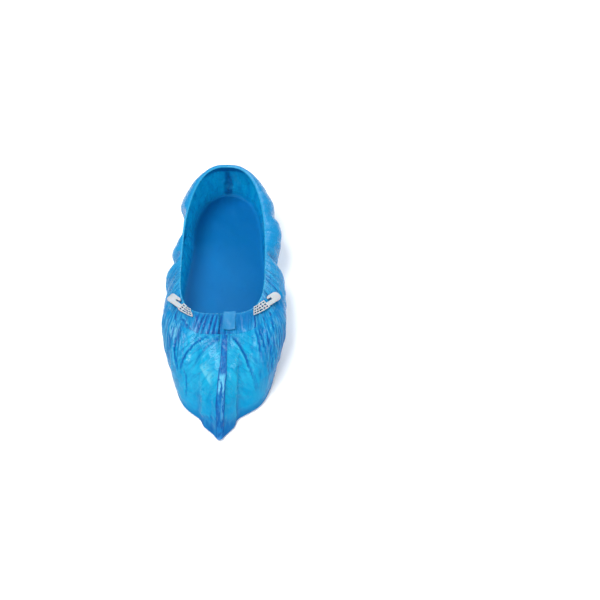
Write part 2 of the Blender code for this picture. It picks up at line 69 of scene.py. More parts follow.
Rib = namedtuple("Rib", "hem_angle left_x right_x sole_y puff fullness edge drop")
RIBS = [Rib(*row) for row in [
    (0, 0.00, 0.00, 0.000, 0.00, 4.5, 1.60, 0.25),
    (9, 0.15, 0.16, 0.024, 0.03, 4.2, 1.55, 0.25),
    (14.5, 0.310, 0.288, 0.049, 0.06, 3.9, 1.44, 0.24),
    (20, 0.400, 0.352, 0.076, 0.10, 3.6, 1.30, 0.21),
    (33, 0.74, 0.79, 0.132, 0.38, 2.9, 0.98, 0.14),
    (50, 0.92, 1.01, 0.240, 0.74, 2.3, 0.82, 0.07),
    (78, 0.90, 1.02, 0.400, 0.86, 1.9, 0.80, 0.02),
    (110, 0.82, 0.88, 0.580, 0.78, 1.7, 0.80, 0.00),
    (138, 0.72, 0.76, 0.720, 0.72, 1.7, 0.80, 0.00),
    (155, 0.70, 0.70, 0.850, 0.68, 1.7, 0.80, 0.00),
    (166, 0.52, 0.52, 0.945, 0.52, 1.8, 0.85, 0.00),
    (174, 0.24, 0.24, 0.990, 0.34, 1.9, 0.95, 0.00),
    (180, 0.00, 0.00, 1.000, 0.25, 2.0, 1.00, 0.00),
]]
ODD_COLUMNS = ("hem_angle", "left_x", "right_x")

Slack = namedtuple("Slack", "at left right")
SLACK = [Slack(*row) for row in [
    (0.000, 0.00, 0.00),
    (0.090, -0.10, -0.10),
    (0.160, 0.04, 0.20),
    (0.240, 0.02, 0.16),
    (0.330, -0.18, 0.00),
    (0.420, -0.32, -0.12),
    (0.490, -0.04, 0.04),
    (0.530, -0.24, -0.14),
    (0.576, -0.74, -0.64),
    (0.624, -0.12, -0.12),
    (0.664, -0.26, 0.16),
    (0.710, -0.70, 0.30),
    (0.756, -0.52, 0.26),
    (0.800, -0.54, -0.02),
    (0.850, -0.08, 0.06),
    (0.914, -0.10, -0.06),
    (0.967, -0.16, -0.10),
    (1.000, -0.08, -0.08),
]]

# The folds, each from its start over its middle to its end, in mm. falls is the side, seen along the
# fold, on which the film drops into the crease: 1 left, -1 right. shade is how dark the crease is painted,
# partly for the two layers there and partly as painted shade, and how light the crest's painted highlight is.
Fold = namedtuple("Fold", "start middle end high wide falls shade")
FOLDS = [Fold(*row) for row in [
    ((6, -77, 60), (-28, -87, 53), (-42, -108, 34), 2.0, 4.4, -1, 0.85),
    ((-4, -76, 60), (-33, -83, 50), (-47, -106, 32), 1.7, 4.4, -1, 0.85),
    ((-14, -75, 59), (-37, -80, 50), (-49, -96, 38), 1.2, 3.4, -1, 0.6),
    ((0, -83, 59), (-16, -94, 55), (-29, -108, 42), 0.7, 4.0, -1, 0.3),
    ((9, -82, 58), (22, -98, 48), (35, -123, 14), 1.7, 3.6, 1, 0.8),
    ((8, -80, 59), (15, -88, 56), (22, -97, 49), 0.6, 5.0, 1, 0.9),
    ((7, -79, 60), (19, -78, 60), (30, -73, 58), 0.4, 2.6, 1, 0.8),
    ((5, -80, 60), (-6, -80, 60), (-17, -80, 60), 0.4, 2.4, -1, 0.7),
    ((13, -80, 58), (27, -99, 44), (38, -118, 20), 1.2, 3.0, -1, 0.6),
    ((31, -68, 57), (36, -85, 51), (41, -110, 27), 1.5, 3.0, 1, 0.8),
    ((35, -68, 56), (43, -90, 45), (47, -112, 18), 1.3, 2.8, 1, 0.7),
    ((40, -62, 56), (49, -84, 46), (51, -104, 22), 1.2, 2.8, -1, 0.6),
    ((47, -55, 54), (53, -80, 43), (53, -96, 20), 1.3, 2.8, 1, 0.8),
    ((52, -50, 48), (56, -68, 38), (55, -86, 20), 1.0, 3.0, -1, 0.5),
    ((-43, -62, 56), (-49, -86, 45), (-45, -106, 32), 1.6, 3.2, 1, 0.9),
    ((-39, -64, 57), (-44, -80, 51), (-44, -98, 38), 1.0, 2.8, -1, 0.5),
    ((-49, -56, 52), (-53, -78, 40), (-50, -98, 22), 1.2, 3.0, 1, 0.7),
    ((-39, -103, 37), (-37, -114, 28), (-39, -124, 12), 0.8, 2.8, 1, 0.5),
    ((-29, -55, 63), (-27, -63, 62), (-25, -72, 60), 0.5, 2.4, 1, 0.9),
    ((-42, -55, 60), (-37, -63, 60), (-29, -74, 59), 0.5, 2.8, -1, 0.8),
    ((-51, -48, 58), (-49, -59, 56), (-45, -76, 55), 0.5, 2.8, 1, 0.7),
    ((33, -55, 61), (34, -64, 59), (32, -74, 56), 0.5, 2.4, -1, 0.9),
    ((40, -55, 59), (44, -63, 56), (47, -74, 52), 0.5, 2.8, 1, 0.6),
    ((49, -47, 58), (51, -58, 54), (51, -74, 50), 0.5, 2.8, -1, 0.7),
    ((28, -126, 22), (27, -131, 16), (24, -136, 8), 0.6, 2.4, -1, 0.3),
    ((-24, -139, 7), (-1, -150, 17), (20, -139, 6), 0.7, 3.0, -1, 0.5),
    ((-44, 20, 50), (-54, 8, 34), (-55, -6, 10), 1.2, 4.0, 1, 0.5),
    ((-44, 60, 50), (-52, 52, 32), (-50, 40, 8), 1.2, 4.0, -1, 0.5),
    ((44, 8, 50), (56, 0, 34), (57, -12, 8), 1.0, 4.0, -1, 0.5),
    ((42, 62, 50), (52, 50, 32), (52, 42, 8), 1.1, 4.0, 1, 0.5),
    ((38, 100, 52), (46, 92, 32), (44, 84, 8), 1.0, 4.0, -1, 0.4),
    ((-36, 104, 52), (-44, 96, 32), (-42, 86, 8), 1.0, 4.0, 1, 0.4),
]]


def rib_at(share):
    """The rib's values at a share of the way from toe to heel."""
    rows = np.array(RIBS, float)
    odd = np.array([name in ODD_COLUMNS for name in Rib._fields])
    rows = np.vstack([
        np.where(odd, 2 * rows[0] - rows[1], rows[1]),
        rows,
        np.where(odd, 2 * rows[-1] - rows[-2], rows[-2]),
    ])
    place = share * (len(RIBS) - 1)
    first = min(int(place), len(RIBS) - 2)
    t = place - first
    a, b, c, d = rows[first : first + 4]
    return Rib(*(b + 0.5 * t * (c - a + t * (2 * a - 5 * b + 4 * c - d + t * (3 * (b - c) + d - a)))))


def smooth_step(share):
    share = np.clip(share, 0, 1)
    return share * share * (3 - 2 * share)


def near(distance, reach):
    """1 at a distance of 0, falling smoothly to 0 at the reach."""
    return 1 - smooth_step(np.abs(distance) / reach)


def bell(distance, width):
    return np.exp(-((distance / width) ** 2))


def unit(vectors):
    return vectors / np.maximum(np.linalg.norm(vectors, axis=-1, keepdims=True), 1e-12)


def hem_point(angle):
    turn = math.radians(angle)
    across, along = math.sin(turn), math.cos(turn)
    reach = OPENING_FRONT if along > 0 else OPENING_REAR
    power = FRONT_SQUARENESS if along > 0 else REAR_SQUARENESS
    radius = (abs(along / reach) ** power + abs(across / (OPENING_WIDTH / 2)) ** power) ** (-1 / power)
    end_height = HEM_FRONT_HEIGHT if along > 0 else HEM_HEEL_HEIGHT
    height = HEM_SIDE_HEIGHT + (end_height - HEM_SIDE_HEIGHT) * (radius * abs(along) / reach) ** 2
    return np.array([radius * across, OPENING_CENTRE_Y - radius * along, height])


def sole_point(side, share):
    rib = rib_at(share)
    across = rib.right_x if side > 0 else rib.left_x
    return np.array([across * SOLE_WIDTH / 2, (rib.sole_y - 0.5) * LENGTH])


def rib_line(side, share, steps=160):
    """A fine line down the film, from the hem's top edge to the rim by the floor."""
    rib, sole = rib_at(share), sole_point(side, share)
    hem = hem_point(rib.hem_angle)
    run = sole_point(side, min(share + 0.004, 1)) - sole_point(side, max(share - 0.004, 0))
    out = unit(np.array([run[1], -run[0]]))
    if share <= 0.004 or share >= 0.996:
        out = np.array([0.0, -1.0 if share < 0.5 else 1.0])
    table = np.array(SLACK)
    after = int(np.clip(np.searchsorted(table[:, 0], rib.sole_y), 1, len(SLACK) - 1))
    mix = smooth_step((rib.sole_y - table[after - 1, 0]) / (table[after, 0] - table[after - 1, 0]))
    slack = (table[after - 1] * (1 - mix) + table[after] * mix)[2 if side > 0 else 1]
    t = np.linspace(0, 1, steps)
    stand_out = rib.puff * PUFF * np.sin(math.pi * t**PUFF_LOWNESS)
    stand_out += slack * PUFF * np.sin(math.pi * t**SLACK_LOWNESS) ** 2
    fall = (1 - t**rib.fullness) ** rib.edge * (1 - rib.drop * t)
    line = np.empty((steps, 3))
    line[:, 0] = side * (hem[0] + (sole[0] - hem[0]) * t + out[0] * stand_out)
    line[:, 1] = hem[1] + (sole[1] - hem[1]) * t + out[1] * stand_out
    line[:, 2] = RIM_HEIGHT + (hem[2] - RIM_HEIGHT) * fall
    return line + STANDS_AT


def lengths_along(line):
    return np.append(0, np.cumsum(np.linalg.norm(np.diff(line, axis=0), axis=1)))


def outward_normals(points):
    """Unit normals of a closed grid points[column, row] that face away from the foot."""
    around = np.roll(points, -1, axis=0) - np.roll(points, 1, axis=0)
    return unit(np.cross(np.gradient(points, axis=1), around))


def softened(grid, passes):
    """A closed grid's values averaged with their neighbours round the foot."""
    for _ in range(passes):
        grid = grid / 2 + (np.roll(grid, 1, axis=0) + np.roll(grid, -1, axis=0)) / 4
    return grid


# Columns stand closer together at the toe: between these shares of the way to the heel they spread.
SPREAD_FROM, SPREAD_TO = 0.45, 0.62
REAR_DENSITY = 0.55
FINE_STEPS = 900


def at_row(grid, row):
    """A grid's values at a place between two of its rows."""
    low = int(row)
    after = min(low + 1, grid.shape[1] - 1)
    return grid[:, low] * (1 - (row - low)) + grid[:, after] * (row - low)


class Form:
    """The film's smooth form at some number of columns, with each row at a distance below the edge."""

    def __init__(self, per_side, hem_rows, side_rows):
        fine = np.linspace(0, 1, FINE_STEPS)
        hem = np.array([hem_point(rib_at(share).hem_angle) for share in fine])
        sole = np.array([sole_point(1, share) for share in fine])
        closer = np.interp(fine[1:], [SPREAD_FROM, SPREAD_TO], [1.0, REAR_DENSITY])
        gone = np.append(0, np.cumsum(np.diff(lengths_along(hem) + lengths_along(sole)) / 2 * closer))
        shares = np.interp(np.linspace(0, gone[-1], per_side + 1), gone, fine)
        order = [(1, share) for share in shares] + [(-1, share) for share in shares[-2:0:-1]]
        self.count, self.heel = len(order), per_side
        grid, depths = [], []
        for side, share in order:
            line = rib_line(side, share)
            lengths = lengths_along(line)
            below = hem_rows[-1] + (lengths[-1] - hem_rows[-1]) * np.asarray(side_rows)
            places = np.concatenate([hem_rows, below])
            grid.append(np.stack([np.interp(places, lengths, line[:, k]) for k in range(3)], axis=1))
            depths.append(places)
        self.points, self.depth = np.array(grid), np.array(depths)
        self.rows = self.points.shape[1]
        self.normal = outward_normals(self.points)
        for row in range(len(hem_rows)):
            self.normal[:, row] = unit(softened(self.normal[:, row], max(2, self.count // 44 - row)))
        *place, self.round_hem = lengths_along(self.points[[*range(self.count), 0], 0])
        place = np.array(place)
        self.from_toe = np.where(place <= self.round_hem / 2, place, place - self.round_hem)


def fold_lift(points, normals):
    """How far the folds lift the film at each point, with masks for the darkening of their creases, partly
    two layers and partly painted shade, and for the painted highlight on their crests.
    """
    lift, dark, light = (np.zeros(points.shape[:-1]) for _ in range(3))
    t = np.linspace(0, 1, 60)[:, None]
    for fold in FOLDS:
        ends = [np.array(place) / 1000 for place in (fold.start, fold.middle, fold.end)]
        curve = ends[0] * (1 - t) * (1 - 2 * t) + ends[1] * 4 * t * (1 - t) + ends[2] * t * (2 * t - 1)
        run = np.gradient(curve, axis=0)
        close = np.all(np.abs(points - curve.mean(axis=0)) < 0.07, axis=-1)
        here, outs = points[close], normals[close]
        gaps = np.linalg.norm(here[:, None] - curve[None], axis=2)
        nearest = np.argmin(gaps, axis=1)
        offset = here - curve[nearest]
        left = np.cross(outs, run[nearest])
        side = np.sign(np.sum(left * offset, axis=1)) * fold.falls
        wide = fold.wide / 1000 * (1.25 - 0.5 * t[nearest, 0])
        e = side * gaps[np.arange(len(here)), nearest] / wide
        fade = smooth_step(t[nearest, 0] / 0.10 + 0.4) * smooth_step((1 - t[nearest, 0]) / 0.30 + 0.1)
        fade *= np.where((nearest == 0) | (nearest == len(t) - 1), bell(e, 1), 1.0)
        crest = np.where(e < 0, np.exp(-np.abs(e) ** 1.5), bell(e, 0.30))
        lift[close] += fold.high / 1000 * fade * (crest - 0.45 * bell(e - 0.45, 0.28))
        dark[close] = np.maximum(dark[close], fold.shade * fade * bell(e - 0.36, 0.26))
        light[close] = np.maximum(light[close], fold.shade * fade * bell(e + 0.22, 0.26))
    return lift, dark, light


# What lies on the hem, by its place from the toe, and the hem's gathers: many small pleats where it is
# drawn in over the toe, few and wide ones at the sides.
TAB_WIDTH = 0.013
TAB_SHIFT = 0.0095
SEAM_WIDTH = 0.009
TOE_SEAM_SHIFT = 0.0055
PAD_LENGTH = 0.020
RIGHT_HOOK_START = 0.0355
LEFT_HOOK_START = 0.0315
PLEAT_WIDTH = 0.0110
PLEAT_HEIGHT = 0.0004
HEEL_WELD = 0.006
chance = np.random.default_rng(7)
Pleat = namedtuple("Pleat", "at width height slant life")

# Where round the hem the pleats differ: place from the toe, reach, then what width, height and slant
# gain there. The first row is the hem's whole front.
STRETCHES = np.array([
    (0.0, 0.075, -0.0056, 0.0009, 0.0),
    (-0.013, 0.026, -0.0028, 0.0, 0.0),
    (-0.088, 0.040, -0.0030, 0.0008, 0.0),
    (0.088, 0.040, -0.0030, 0.0008, 0.0),
    (-0.014, 0.024, 0.0, 0.0, -0.34),
    (0.026, 0.016, 0.0, 0.0, 0.20),
])


def make_pleats(round_hem):
    """Pleats placed one after another round the hem, from the heel round by the toe to the heel."""
    pleats, at = [], HEEL_WELD - round_hem / 2
    while at < round_hem / 2 - HEEL_WELD:
        here = near(at - STRETCHES[:, 0], STRETCHES[:, 1])
        width, height, slant = np.array([PLEAT_WIDTH, PLEAT_HEIGHT, 0.0]) + here @ STRETCHES[:, 2:]
        width *= chance.uniform(0.7, 1.4)
        height *= chance.uniform(0.45, 1.25)
        life = chance.uniform(0.006, 0.020) + 0.018 * (1 - here[0])
        pleats.append(Pleat(at, width, height, slant + chance.normal(0, 0.12), life))
        at += width * chance.uniform(0.9, 1.1)
    return pleats


def pleat_lift(from_toe, depth, round_hem, pleats):
    """How far the pleats lift the film, by place round the hem and depth below its edge."""
    total = np.zeros(depth.shape)
    for pleat in pleats:
        aside = from_toe[:, None] - pleat.at - pleat.slant * depth
        aside = (aside + round_hem / 2) % round_hem - round_hem / 2
        wide = pleat.width * (0.56 + 0.22 * np.clip(depth / 0.05, 0, 1))
        arc = np.clip(1 - (aside / wide) ** 2, 0, 1) ** 0.8
        fade = np.clip(depth / 0.005, 0.30, 1) * near(np.maximum(depth - pleat.life, 0), 0.022)
        total = np.maximum(total, pleat.height * arc * fade)
    # the tab, the stretch beside it, the pads and the heel's weld press the pleats flat
    pad, pad_reach = PAD_LENGTH * 0.45, PAD_LENGTH * 0.65
    pressed = [near(round_hem / 2 - np.abs(from_toe), 2 * HEEL_WELD)]
    for share, at, reach in (
        (0.9, TAB_SHIFT, TAB_WIDTH / 2 + 0.004),
        (0.55, 0.023, 0.012),
        (0.7, RIGHT_HOOK_START + pad, pad_reach),
        (0.7, -LEFT_HOOK_START - pad, pad_reach),
    ):
        pressed.append(share * near(from_toe - at, reach))
    flat = np.maximum.reduce(pressed)
    return total * (1 - flat[:, None] * near(np.maximum(depth - HEM_DEPTH, 0), 0.010))


def hanging_folds(around, down, pitch, seed):
    """Uneven folds that run down the film, from waves with creases between them, the same each time."""
    maker = np.random.default_rng(seed)
    total = np.zeros(down.shape)
    for _ in range(9):
        across, along = pitch * maker.uniform(0.7, 1.6), maker.uniform(0.035, 0.11) * maker.choice([-1, 1])
        total += np.sin(2 * math.pi * (around[:, None] / across + down / along) + maker.uniform(0, 6.28))
    return 0.75 - np.abs(total / 3.0)


def grid_mesh(name, grid, closed):
    """A sheet of squares from points[column, row], which faces along the columns' way x the rows' way."""
    columns, rows = grid.shape[:2]
    faces = []
    for column in range(columns if closed else columns - 1):
        there = (column + 1) % columns
        for row in range(rows - 1):
            a, b = column * rows + row, there * rows + row
            faces.append((a, b, b + 1, a + 1))
    mesh = bpy.data.meshes.new(name)
    mesh.from_pydata(grid.reshape(-1, 3).tolist(), [], faces)
    mesh.shade_smooth()
    return mesh


def in_scene(name, data):
    made = bpy.data.objects.new(name, data)
    bpy.context.scene.collection.objects.link(made)
    return made


def new_piece(name, mesh, node):
    """A piece of the object that rides on its body and stands for the named solid."""
    piece = in_scene(name, mesh)
    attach(piece, "root")
    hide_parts(node)
    return piece


FILM_COLUMNS = 190
HEM_ROWS = np.array([0.0, 0.0015, 0.003, 0.0055, 0.008, 0.011, 0.014, 0.017, 0.020, 0.0225, 0.0245])
SIDE_ROWS = np.linspace(0, 1, 43)[1:]
form = Form(FILM_COLUMNS, HEM_ROWS, SIDE_ROWS)
pleats = make_pleats(form.round_hem)
hem_rows = len(HEM_ROWS)


def waves(points, size, seed):
    """Soft irregular waves through space, the same each time."""
    maker = np.random.default_rng(seed)
    total = np.zeros(points.shape[:-1])
    for _ in range(14):
        direction = unit(maker.normal(size=3))
        pitch = size * maker.uniform(0.6, 1.7)
        total += np.sin(points @ direction * 2 * math.pi / pitch + maker.uniform(0, 6.28))
    return total / 14**0.5


lift = pleat_lift(form.from_toe, form.depth, form.round_hem, pleats)
body_share = smooth_step((form.depth - HEM_DEPTH) / 0.010)
body_lift, dark, light = fold_lift(form.points, form.normal)
at_x, at_y = (form.points[..., k] - STANDS_AT[k] for k in range(2))
on_cap = near(np.hypot(at_x + 0.004, at_y + 0.108), 0.0575)
side_front = smooth_step((np.abs(at_x) - 0.030) / 0.014) * near(at_y + 0.075, 0.055)
side_back = smooth_step((at_y + 0.035) / 0.03)
around = lengths_along(form.points[:, form.rows // 2])
for where, height, pitch, seed in (
    (side_front, 0.00095, 0.0070, 21),
    (side_back, 0.00090, 0.0260, 22),
    (side_back, 0.00025, 0.0090, 23),
):
    body_lift += where * height * hanging_folds(around, form.depth, pitch, seed)
for where, height, size, seed in ((1 - 0.6 * on_cap, 0.00030, 0.012, 3), (1, 0.00012, 0.006, 4)):
    body_lift += where * height * waves(form.points, size, seed)
lift += body_share * body_lift
lift[:, -1] = 0
film_points = form.points + form.normal * lift[..., None]

SLACK_AT_HEM = 1.22
SLACK_AT_RIM = 1.02
SLACK_DOWN = 1.020
SETTLE_FRAMES = 22
MOST_OUT = 0.0030
MOST_IN = 0.0016
MOST_ASIDE = 0.0025
CLOTH = {
    "quality": 5,
    "mass": 0.02,
    "tension_stiffness": 12,
    "compression_stiffness": 12,
    "shear_stiffness": 4,
    "bending_stiffness": 0.1,
    "air_damping": 2,
    "vertex_group_mass": "held",
    "use_pressure": True,
    "uniform_pressure_force": 0.12,
}


def rest_lengths(form, start):
    """Where the film's points would lie if it weren't drawn in: wider round the hem, a little longer down."""
    centre = np.array([0.0, OPENING_CENTRE_Y]) + STANDS_AT[:2]
    share = np.clip((form.depth - HEM_DEPTH) / (form.depth[:, -1:] - HEM_DEPTH), 0, 1)
    wide = SLACK_AT_RIM + (SLACK_AT_HEM - SLACK_AT_RIM) * (1 - share) ** 1.6
    rest = start.copy()
    rest[..., :2] = centre + (start[..., :2] - centre) * wide[..., None]
    down = np.linalg.norm(np.diff(start, axis=1), axis=2) * SLACK_DOWN
    across = np.linalg.norm(np.diff(rest[..., :2], axis=1), axis=2)
    fall = np.sqrt(np.maximum(down**2 - across**2, (0.12 * down) ** 2))
    fallen = np.hstack([np.zeros((form.count, 1)), np.cumsum(fall, axis=1)])
    rest[..., 2] = start[:, :1, 2] - fallen
    return rest


def settle(form, start, first_free):
    """Lets the slack film buckle into its own folds, held at the hem and at the rim.

    The sheet faces the foot, so the pressure is the air's from outside, which lays it against the foot.
    """
    sheet = in_scene("settling_film", grid_mesh("settling_film", start, closed=True))
    sheet.shape_key_add(name="held")
    slack = sheet.shape_key_add(name="slack")
    slack.data.foreach_set("co", rest_lengths(form, start).ravel())
    held = sheet.vertex_groups.new(name="held")
    index = np.arange(form.count * form.rows).reshape(form.count, form.rows)
    held.add(index[:, :first_free].ravel().tolist(), 1.0, "REPLACE")
    held.add(index[:, -1].ravel().tolist(), 1.0, "REPLACE")
    cloth = sheet.modifiers.new("slack film", "CLOTH")
    for name, value in CLOTH.items():
        setattr(cloth.settings, name, value)
    cloth.settings.rest_shape_key = slack
    cloth.settings.effector_weights.gravity = 0
    cloth.collision_settings.use_collision = False
    cloth.collision_settings.use_self_collision = False
    cloth.point_cache.frame_start, cloth.point_cache.frame_end = 1, SETTLE_FRAMES
    for step in range(1, SETTLE_FRAMES + 1):
        bpy.context.scene.frame_set(step)
    settled = sheet.evaluated_get(bpy.context.evaluated_depsgraph_get())
    found = np.empty(form.count * form.rows * 3)
    settled.data.vertices.foreach_get("co", found)
    bpy.context.scene.frame_set(1)
    bpy.data.objects.remove(sheet)
    return found.reshape(start.shape)


def capped(form, start, points):
    """Keeps each point within a few millimetres of where it started, so that the outline stays."""
    away = points - start
    out = np.sum(away * form.normal, axis=2, keepdims=True)
    aside = away - form.normal * out
    out = np.where(out > 0, MOST_OUT * np.tanh(out / MOST_OUT), MOST_IN * np.tanh(out / MOST_IN))
    size = np.linalg.norm(aside, axis=2, keepdims=True)
    aside *= MOST_ASIDE * np.tanh(size / MOST_ASIDE) / np.maximum(size, 1e-9)
    return start + form.normal * out + aside


film_points = capped(form, film_points, settle(form, film_points, hem_rows))
LOWEST_FILM = 0.0006
film_points[..., 2] = np.maximum(film_points[..., 2], LOWEST_FILM)

# The sole runs from the right side's rim to the left side's, tucked in a little under both.
SOLE_STEPS = 16
SOLE_HEIGHT = 0.0002
RIM_TUCK = 0.0015
rim = film_points[:, -1].copy()
foot = rim - unit(form.normal[:, -1] * np.array([1, 1, 0])) * RIM_TUCK
foot[:, 2] = SOLE_HEIGHT
foot[[0, form.heel]] = rim[[0, form.heel]]
across = np.linspace(0, 1, SOLE_STEPS + 1)
right, left = foot[1 : form.heel, None], foot[: form.heel : -1, None]
sole = right + (left - right) * across[:, None]
inside = np.sin(math.pi * across) ** 0.5
ripple = np.maximum(waves(sole * np.array([1.0, 0.45, 1.0]), 0.016, 11), 0) * 0.0007 * inside
sole[..., 2] += ripple

count, rows = form.count, form.rows
on_rim = np.arange(count) * rows + rows - 1
in_sole = count * rows + np.arange(sole.shape[0] * sole.shape[1]).reshape(sole.shape[:2])
strips = np.hstack([on_rim[1 : form.heel, None], in_sole, on_rim[: form.heel : -1, None]]).tolist()
sole_faces = []
for strip, following in zip(strips, strips[1:]):
    sole_faces += zip(strip, following, following[1:], strip[1:])
for tip, strip in ((on_rim[0], strips[0]), (on_rim[form.heel], strips[-1])):
    sole_faces += [(int(tip), a, b) for a, b in zip(strip, strip[1:])]

film_mesh = grid_mesh("film", film_points, closed=True)
whole = bmesh.new()
whole.from_mesh(film_mesh)
for point in sole.reshape(-1, 3):
    whole.verts.new(point)
whole.verts.ensure_lookup_table()
for face in sole_faces:
    made = whole.faces.new([whole.verts[i] for i in face])
    made.smooth = True
bmesh.ops.recalc_face_normals(whole, faces=whole.faces)
whole.to_mesh(film_mesh)
whole.free()
film_piece = new_piece("film", film_mesh, "film_body")


def relief_of(points, normals, passes, full):
    """From -1 in the valleys between folds to 1 on their ridges, by the way round the piece."""
    above = np.sum((points - softened(points, passes)) * normals, axis=2)
    return np.clip(above / full, -1, 1)


def paint(mesh, grid, **layers):
    """Keeps numbers at the points of a mesh's grid for its material, a layer for each name."""
    columns, rows = grid.shape[:2]
    for name, values in layers.items():
        full = np.zeros(len(mesh.vertices), np.float32)
        full[: columns * rows] = np.broadcast_to(values, (columns, rows)).ravel()
        mesh.attributes.new(name, "FLOAT", "POINT").data.foreach_set("value", full)


below_hem = smooth_step((form.depth - HEM_DEPTH - 0.002) / 0.008)
under_tab = near(form.depth - 0.028, 0.018) * near(form.from_toe[:, None], 0.045)
from_hem = smooth_step((form.depth - HEM_DEPTH + 0.003) / 0.004)
# the painted layers mark the folds' valleys and creases for painted shade, partly two layers of film, and
# their ridges and crests for painted highlights
paint(
    film_mesh,
    film_points,
    relief=relief_of(film_points, form.normal, 5, 0.0005) * below_hem,
    crease=dark * body_share,
    crest=light * body_share,
    folded=np.clip(side_front + 0.22 * side_back + 0.8 * under_tab, 0, 1) * from_hem,
    around=around[:, None],
    down=form.depth,
)
finer = film_piece.modifiers.new("finer", "SUBSURF")
finer.levels = finer.render_levels = 1

# The film's material: glossy, a little translucent, embossed all over with fine grain, crinkled, and
# deeper where two layers lie on each other, as in the corner beyond the toe. Its colour also carries
# painted shade in the folds' valleys, grooves and creases, on the outer sides and by the floor, and
# painted highlights on ridges, crests, fine lines and one patch of the cap.

DRAWN_OUT = 0.11


def operator(operation, swapped=False):
    """What a Python operator does: it adds a Math node, with the two values swapped if it is reflected."""

    def work(self, other):
        return self.sum(operation, *((other, self) if swapped else (self, other)))

    return work


class Sums:
    """A socket of numbers that can be used in a Python expression, which adds the Math nodes."""

    def __init__(self, shader, socket):
        self.shader, self.socket = shader, socket

    def sum(self, operation, *values):
        return self.shader.number("ShaderNodeMath", {"operation": operation}, values)

    __add__ = __radd__ = operator("ADD")
    __mul__ = __rmul__ = operator("MULTIPLY")
    __sub__, __rsub__ = operator("SUBTRACT"), operator("SUBTRACT", swapped=True)
    __truediv__ = operator("DIVIDE")
    __pow__ = operator("POWER")

    def clamped(self):
        return self.sum("MINIMUM", self.sum("MAXIMUM", self, 0.0), 1.0)


class Shader:
    """A material's nodes."""

    def __init__(self, name):
        self.material = bpy.data.materials.new(name)
        self.material.use_nodes = True
        self.tree = self.material.node_tree
        self.finish = self.tree.nodes["Principled BSDF"]
        self.output = self.tree.nodes["Material Output"]

    def node(self, kind, settings=None, values=()):
        made = self.tree.nodes.new(kind)
        for name, value in (settings or {}).items():
            setattr(made, name, value)
        pairs = values.items() if isinstance(values, dict) else enumerate(values)
        for key, value in pairs:
            value = value.socket if isinstance(value, Sums) else value
            if isinstance(value, bpy.types.NodeSocket):
                self.tree.links.new(value, made.inputs[key])
            else:
                made.inputs[key].default_value = value
        return made

    def number(self, kind, settings=None, values=(), output=0):
        return Sums(self, self.node(kind, settings, values).outputs[output])

    def place(self):
        return self.node("ShaderNodeNewGeometry").outputs["Position"]

    def painted(self, name):
        return self.number("ShaderNodeAttribute", {"attribute_name": name}, (), "Fac")

    def stretched(self, position, by):
        return self.node("ShaderNodeVectorMath", {"operation": "MULTIPLY"}, [position, by]).outputs[0]

    def axis(self, position, name):
        return self.number("ShaderNodeSeparateXYZ", None, {0: position}, name)

    def noise(self, position, scale, detail=2.0, roughness=0.5, distortion=0.0):
        values = {"Vector": position, "Scale": scale, "Detail": detail, "Roughness": roughness}
        values["Distortion"] = distortion
        return self.number("ShaderNodeTexNoise", None, values)

    def down_the_piece(self, drawn_out):
        """A place by its way round the piece and down it, with the way down shortened to draw folds out."""
        values = [self.painted("around"), self.painted("down") * drawn_out]
        return self.node("ShaderNodeCombineXYZ", None, values).outputs[0]

    def lines(self, place, scale, thin, detail, wander):
        """1 along thin wandering lines and 0 between them."""
        level = self.noise(place, scale, detail, 0.5, wander) - 0.5
        return (1 - level.sum("ABSOLUTE", level) * thin).clamped()

    def hanging_lines(self):
        """The ridges of fine folds that hang down the piece where it is folded, the painted shade of their
        grooves, and their painted glints.
        """
        place, folded = self.down_the_piece(DRAWN_OUT), self.painted("folded")
        kinds = ((210.0, 2.6, 2.0, 0.5), (150.0, 7.0, 3.0, 0.9), (190.0, 11.0, 2.0, 1.2))
        return [self.lines(place, *kind) * folded for kind in kinds]

    def between(self, low, high, value):
        """0 below low and 1 above high, smoothly, or the other way round."""
        up = {"interpolation_type": "SMOOTHSTEP"}
        return self.number("ShaderNodeMapRange", up, {0: value, 1: low, 2: high, 3: 0.0, 4: 1.0})

    def mix(self, first, second, mask):
        """The first colour where the mask is 0 or less, the second where it is 1 or more."""
        made = self.node("ShaderNodeMix", {"data_type": "RGBA"}, {0: mask, 6: first, 7: second})
        return made.outputs[2]

    def colours(self, colour, *layers):
        """Makes the finish one colour with others laid over it, each by its mask."""
        for over, mask in layers:
            colour = self.mix(colour, over, mask)
        self.feed("Base Color", colour)

    def set(self, **constants):
        for name, value in constants.items():
            self.finish.inputs[name.replace("_", " ").title().replace("Ior", "IOR")].default_value = value

    def feed(self, name, value):
        value = value.socket if isinstance(value, Sums) else value
        self.tree.links.new(value, self.finish.inputs[name])

    def bump(self, height, depth, strength, under=None):
        values = {"Height": height, "Distance": depth, "Strength": strength}
        if under is not None:
            values["Normal"] = under
        return self.node("ShaderNodeBump", None, values).outputs[0]

    def let_light_through(self, colour, share, normal):
        """Part of the light passes through the film and comes out scattered on the other side."""
        through = self.node("ShaderNodeBsdfTranslucent", None, {"Color": colour, "Normal": normal})
        ends = [share, self.finish.outputs[0], through.outputs[0]]
        both = self.node("ShaderNodeMixShader", None, ends)
        self.tree.links.new(both.outputs[0], self.output.inputs["Surface"])


def srgb(red, green, blue):
    """A colour as the eye reads it, 0 to 255, as the shader's own light values."""
    parts = [part / 255 for part in (red, green, blue)]
    return (*[p / 12.92 if p <= 0.04045 else ((p + 0.055) / 1.055) ** 2.4 for p in parts], 1.0)


FILM_BRIGHT = srgb(2, 166, 208)
FILM_BLUE = srgb(2, 134, 192)
FILM_DEEP = srgb(0, 82, 158)


